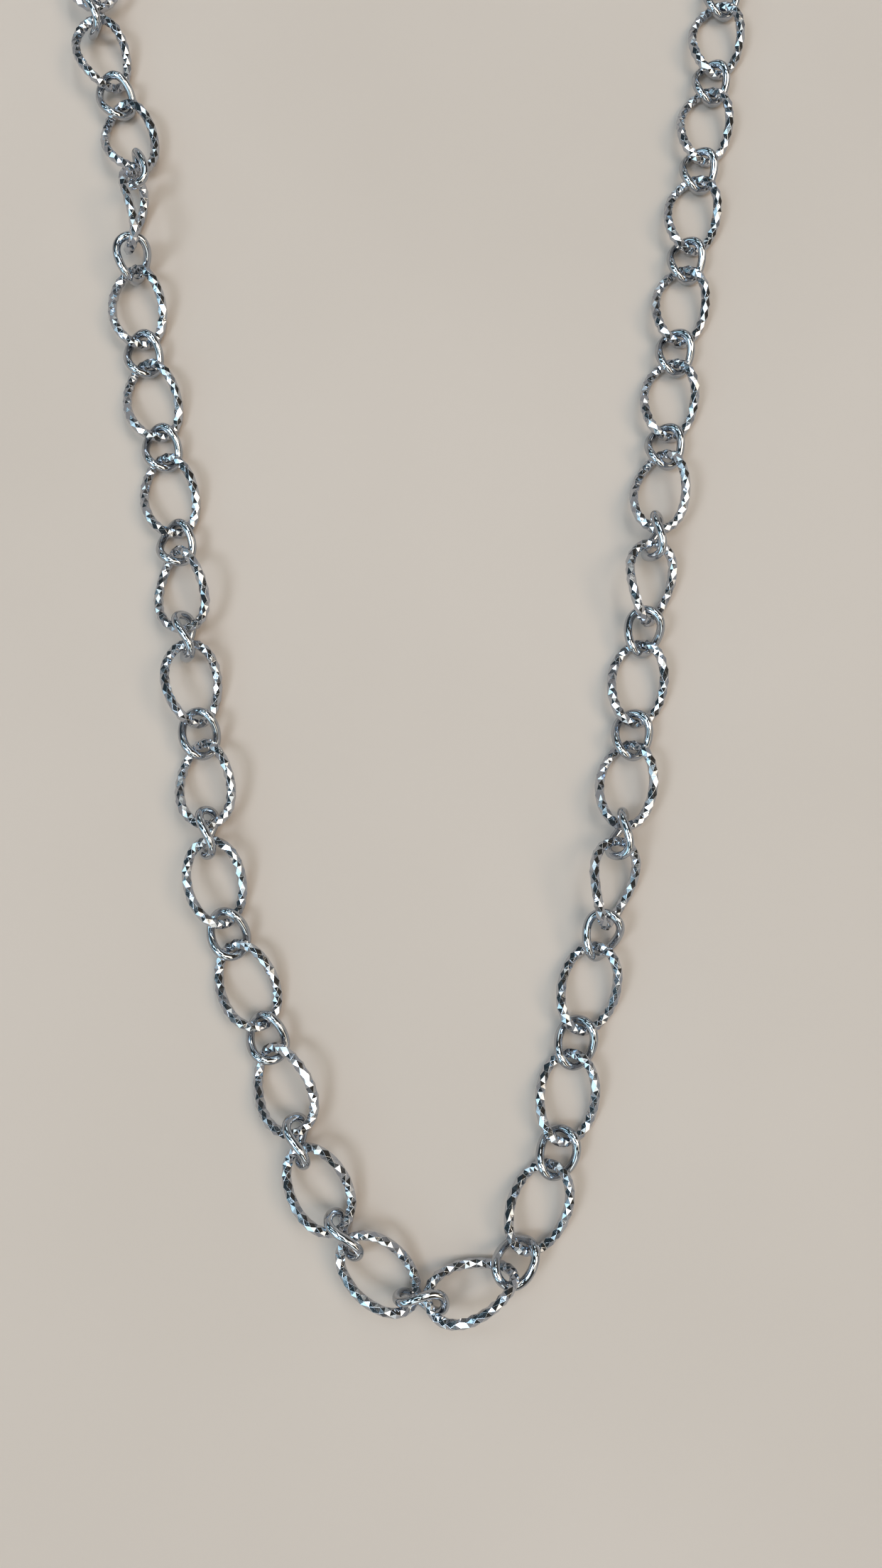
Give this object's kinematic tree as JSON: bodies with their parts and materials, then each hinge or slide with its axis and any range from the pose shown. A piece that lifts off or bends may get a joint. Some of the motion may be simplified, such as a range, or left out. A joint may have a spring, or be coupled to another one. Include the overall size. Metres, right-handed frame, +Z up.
{
  "type": "chain necklace",
  "caption": "Necklace chain of large faceted oval links joined by small smooth rings, with a lobster clasp and an end ring, lying open on a surface.",
  "frame": {"origin": "middle of the necklace's outline, on the surface it lies on", "axes": "+X from the left strand to the right strand, +Y from the lowest link towards the clasp, +Z up off the surface"},
  "size_m": [0.131, 0.3479, 0.0101],
  "materials": {
    "chain_silver": "high polish",
    "clasp_silver": "high polish"
  },
  "bodies": {
    "centre": {"centre_links": "chain_silver"},
    "left_pair_01": {"left_pair_01": "chain_silver"},
    "left_pair_02": {"left_pair_02": "chain_silver"},
    "left_pair_03": {"left_pair_03": "chain_silver"},
    "left_pair_04": {"left_pair_04": "chain_silver"},
    "left_pair_05": {"left_pair_05": "chain_silver"},
    "left_pair_06": {"left_pair_06": "chain_silver"},
    "left_pair_07": {"left_pair_07": "chain_silver"},
    "left_pair_08": {"left_pair_08": "chain_silver"},
    "left_pair_09": {"left_pair_09": "chain_silver"},
    "left_pair_10": {"left_pair_10": "chain_silver"},
    "left_pair_11": {"left_pair_11": "chain_silver"},
    "left_pair_12": {"left_pair_12": "chain_silver"},
    "left_pair_13": {"left_pair_13": "chain_silver"},
    "left_pair_14": {"left_pair_14": "chain_silver"},
    "left_pair_15": {"left_pair_15": "chain_silver"},
    "left_pair_16": {"left_pair_16": "chain_silver"},
    "left_pair_17": {"left_pair_17": "chain_silver"},
    "left_pair_18": {"left_pair_18": "chain_silver"},
    "left_end_link": {"left_end_link": "chain_silver"},
    "right_pair_01": {"right_pair_01": "chain_silver"},
    "right_pair_02": {"right_pair_02": "chain_silver"},
    "right_pair_03": {"right_pair_03": "chain_silver"},
    "right_pair_04": {"right_pair_04": "chain_silver"},
    "right_pair_05": {"right_pair_05": "chain_silver"},
    "right_pair_06": {"right_pair_06": "chain_silver"},
    "right_pair_07": {"right_pair_07": "chain_silver"},
    "right_pair_08": {"right_pair_08": "chain_silver"},
    "right_pair_09": {"right_pair_09": "chain_silver"},
    "right_pair_10": {"right_pair_10": "chain_silver"},
    "right_pair_11": {"right_pair_11": "chain_silver"},
    "right_pair_12": {"right_pair_12": "chain_silver"},
    "right_pair_13": {"right_pair_13": "chain_silver"},
    "right_pair_14": {"right_pair_14": "chain_silver"},
    "right_pair_15": {"right_pair_15": "chain_silver"},
    "right_pair_16": {"right_pair_16": "chain_silver"},
    "right_pair_17": {"right_pair_17": "chain_silver"},
    "right_pair_18": {"right_pair_18": "chain_silver"},
    "right_end_link": {"right_end_link": "chain_silver"},
    "end_ring": {"end_ring": "clasp_silver"},
    "clasp_jump_ring": {"clasp_jump_ring": "clasp_silver"},
    "clasp": {"clasp_body": "clasp_silver", "clasp_pin": "clasp_silver", "clasp_spring": "clasp_silver"},
    "lever": {"clasp_lever": "clasp_silver"}
  },
  "joints": [
    {"name": "clasp_jump_ring_turn", "type": "hinge", "parent": "right_end_link", "child": "clasp_jump_ring", "pos_m": [0.0593, 0.15681, 0.00275], "axis": [0.9969, 0.0785, 0], "range_deg": [-10, 40]},
    {"name": "clasp_swing", "type": "hinge", "parent": "clasp_jump_ring", "child": "clasp", "pos_m": [0.0588, 0.1611, 0.00268], "axis": [-0.0118, 0.0798, 0.9967], "range_deg": [-15, 45]},
    {"name": "clasp_lever_open", "type": "hinge", "parent": "clasp", "child": "lever", "pos_m": [0.05722, 0.1657, 0.00229], "axis": [-0.0118, 0.0798, 0.9967], "range_deg": [0, 32]},
    {"name": "end_ring_turn", "type": "hinge", "parent": "left_end_link", "child": "end_ring", "pos_m": [-0.03758, 0.12916, 0.00305], "axis": [0.8594, -0.5113, 0], "range_deg": [-10, 45]},
    {"name": "left_bend_01", "type": "hinge", "parent": "centre", "child": "left_pair_01", "pos_m": [-0.00299, -0.16955, 0.00333], "axis": [0, 0, 1], "range_deg": [-5, 16]},
    {"name": "left_raise_02", "type": "hinge", "parent": "left_pair_01", "child": "left_pair_02", "pos_m": [-0.01371, -0.15847, 0.00342], "axis": [0.857, 0.5153, 0], "range_deg": [0, 5]},
    {"name": "left_bend_03", "type": "hinge", "parent": "left_pair_02", "child": "left_pair_03", "pos_m": [-0.02014, -0.14434, 0.00342], "axis": [0, 0, -1], "range_deg": [-9, 16]},
    {"name": "left_raise_04", "type": "hinge", "parent": "left_pair_03", "child": "left_pair_04", "pos_m": [-0.02614, -0.12844, 0.00197], "axis": [-0.9261, -0.3772, 0], "range_deg": [-28, 5]},
    {"name": "left_bend_05", "type": "hinge", "parent": "left_pair_04", "child": "left_pair_05", "pos_m": [-0.03251, -0.11221, 0.00266], "axis": [0, 0, 1], "range_deg": [-16, 16]},
    {"name": "left_raise_06", "type": "hinge", "parent": "left_pair_05", "child": "left_pair_06", "pos_m": [-0.03523, -0.09636, 0.00343], "axis": [0.9969, 0.0792, 0], "range_deg": [-17, 23]},
    {"name": "left_bend_07", "type": "hinge", "parent": "left_pair_06", "child": "left_pair_07", "pos_m": [-0.03757, -0.07979, 0.00324], "axis": [0, 0, -1], "range_deg": [-16, 16]},
    {"name": "left_raise_08", "type": "hinge", "parent": "left_pair_07", "child": "left_pair_08", "pos_m": [-0.04008, -0.06375, 0.00343], "axis": [-0.9898, -0.1424, 0], "range_deg": [-30, 23]},
    {"name": "left_bend_09", "type": "hinge", "parent": "left_pair_08", "child": "left_pair_09", "pos_m": [-0.04255, -0.04703, 0.00197], "axis": [0, 0, 1], "range_deg": [-16, 16]},
    {"name": "left_raise_10", "type": "hinge", "parent": "left_pair_09", "child": "left_pair_10", "pos_m": [-0.04589, -0.02982, 0.00197], "axis": [0.9758, 0.2185, 0], "range_deg": [-23, 23]},
    {"name": "left_bend_11", "type": "hinge", "parent": "left_pair_10", "child": "left_pair_11", "pos_m": [-0.04966, -0.01265, 0.00208], "axis": [0, 0, -1], "range_deg": [-16, 15]},
    {"name": "left_raise_12", "type": "hinge", "parent": "left_pair_11", "child": "left_pair_12", "pos_m": [-0.05115, 0.00393, 0.00512], "axis": [-1, -0.0045, 0], "range_deg": [-30, 23]},
    {"name": "left_bend_13", "type": "hinge", "parent": "left_pair_12", "child": "left_pair_13", "pos_m": [-0.05146, 0.02026, 0.00306], "axis": [0, 0, 1], "range_deg": [-16, 16]},
    {"name": "left_raise_14", "type": "hinge", "parent": "left_pair_13", "child": "left_pair_14", "pos_m": [-0.05697, 0.03638, 0.00294], "axis": [0.9436, 0.331, 0], "range_deg": [-30, 30]},
    {"name": "left_bend_15", "type": "hinge", "parent": "left_pair_14", "child": "left_pair_15", "pos_m": [-0.06058, 0.05209, 0.00343], "axis": [0, 0, -1], "range_deg": [-16, 5]},
    {"name": "left_raise_16", "type": "hinge", "parent": "left_pair_15", "child": "left_pair_16", "pos_m": [-0.05972, 0.06905, 0.00197], "axis": [-0.9926, 0.1213, 0], "range_deg": [-17, 30]},
    {"name": "left_bend_17", "type": "hinge", "parent": "left_pair_16", "child": "left_pair_17", "pos_m": [-0.0568, 0.08639, 0.00197], "axis": [0, 0, 1], "range_deg": [-6, 16]},
    {"name": "left_raise_18", "type": "hinge", "parent": "left_pair_17", "child": "left_pair_18", "pos_m": [-0.05118, 0.10305, 0.00197], "axis": [0.9208, -0.3901, 0], "range_deg": [-24, 21]},
    {"name": "left_bend_19", "type": "hinge", "parent": "left_pair_18", "child": "left_end_link", "pos_m": [-0.04365, 0.11895, 0.00197], "axis": [0, 0, -1], "range_deg": [-15, 6]},
    {"name": "right_bend_01", "type": "hinge", "parent": "centre", "child": "right_pair_01", "pos_m": [0.01528, -0.16222, 0.00213], "axis": [0, 0, 1], "range_deg": [-16, 11]},
    {"name": "right_raise_02", "type": "hinge", "parent": "right_pair_01", "child": "right_pair_02", "pos_m": [0.02146, -0.14588, 0.00197], "axis": [0.9753, -0.2211, 0], "range_deg": [0, 18]},
    {"name": "right_bend_03", "type": "hinge", "parent": "right_pair_02", "child": "right_pair_03", "pos_m": [0.02432, -0.12909, 0.00197], "axis": [0, 0, -1], "range_deg": [-16, 14]},
    {"name": "right_raise_04", "type": "hinge", "parent": "right_pair_03", "child": "right_pair_04", "pos_m": [0.02859, -0.11249, 0.00404], "axis": [-0.9764, 0.2158, 0], "range_deg": [-30, 18]},
    {"name": "right_bend_05", "type": "hinge", "parent": "right_pair_04", "child": "right_pair_05", "pos_m": [0.03163, -0.09656, 0.0034], "axis": [0, 0, 1], "range_deg": [-16, 16]},
    {"name": "right_raise_06", "type": "hinge", "parent": "right_pair_05", "child": "right_pair_06", "pos_m": [0.03406, -0.07968, 0.00197], "axis": [0.991, -0.1338, 0], "range_deg": [-27, 18]},
    {"name": "right_bend_07", "type": "hinge", "parent": "right_pair_06", "child": "right_pair_07", "pos_m": [0.03634, -0.06258, 0.00368], "axis": [0, 0, -1], "range_deg": [-16, 16]},
    {"name": "right_raise_08", "type": "hinge", "parent": "right_pair_07", "child": "right_pair_08", "pos_m": [0.03854, -0.0465, 0.00342], "axis": [-0.9909, 0.1345, 0], "range_deg": [-30, 18]},
    {"name": "right_bend_09", "type": "hinge", "parent": "right_pair_08", "child": "right_pair_09", "pos_m": [0.0408, -0.02969, 0.00197], "axis": [0, 0, 1], "range_deg": [-16, 16]},
    {"name": "right_raise_10", "type": "hinge", "parent": "right_pair_09", "child": "right_pair_10", "pos_m": [0.04318, -0.01229, 0.00197], "axis": [0.9901, -0.1407, 0], "range_deg": [-23, 23]},
    {"name": "right_bend_11", "type": "hinge", "parent": "right_pair_10", "child": "right_pair_11", "pos_m": [0.04575, 0.00512, 0.00197], "axis": [0, 0, -1], "range_deg": [-12, 11]},
    {"name": "right_raise_12", "type": "hinge", "parent": "right_pair_11", "child": "right_pair_12", "pos_m": [0.04852, 0.0225, 0.00197], "axis": [-0.9873, 0.159, 0], "range_deg": [-23, 23]},
    {"name": "right_bend_13", "type": "hinge", "parent": "right_pair_12", "child": "right_pair_13", "pos_m": [0.0513, 0.03988, 0.00197], "axis": [0, 0, 1], "range_deg": [-12, 11]},
    {"name": "right_raise_14", "type": "hinge", "parent": "right_pair_13", "child": "right_pair_14", "pos_m": [0.05381, 0.0573, 0.00197], "axis": [0.9916, -0.1294, 0], "range_deg": [-23, 23]},
    {"name": "right_bend_15", "type": "hinge", "parent": "right_pair_14", "child": "right_pair_15", "pos_m": [0.05591, 0.07478, 0.00197], "axis": [0, 0, -1], "range_deg": [-11, 12]},
    {"name": "right_raise_16", "type": "hinge", "parent": "right_pair_15", "child": "right_pair_16", "pos_m": [0.05779, 0.09228, 0.00197], "axis": [-0.9952, 0.0974, 0], "range_deg": [-23, 23]},
    {"name": "right_bend_17", "type": "hinge", "parent": "right_pair_16", "child": "right_pair_17", "pos_m": [0.05931, 0.10981, 0.00197], "axis": [0, 0, 1], "range_deg": [-12, 11]},
    {"name": "right_raise_18", "type": "hinge", "parent": "right_pair_17", "child": "right_pair_18", "pos_m": [0.06032, 0.12738, 0.00197], "axis": [0.9996, -0.0292, 0], "range_deg": [-21, 24]},
    {"name": "right_bend_19", "type": "hinge", "parent": "right_pair_18", "child": "right_end_link", "pos_m": [0.06023, 0.14497, 0.00197], "axis": [0, 0, -1], "range_deg": [-10, 13]}
  ]
}
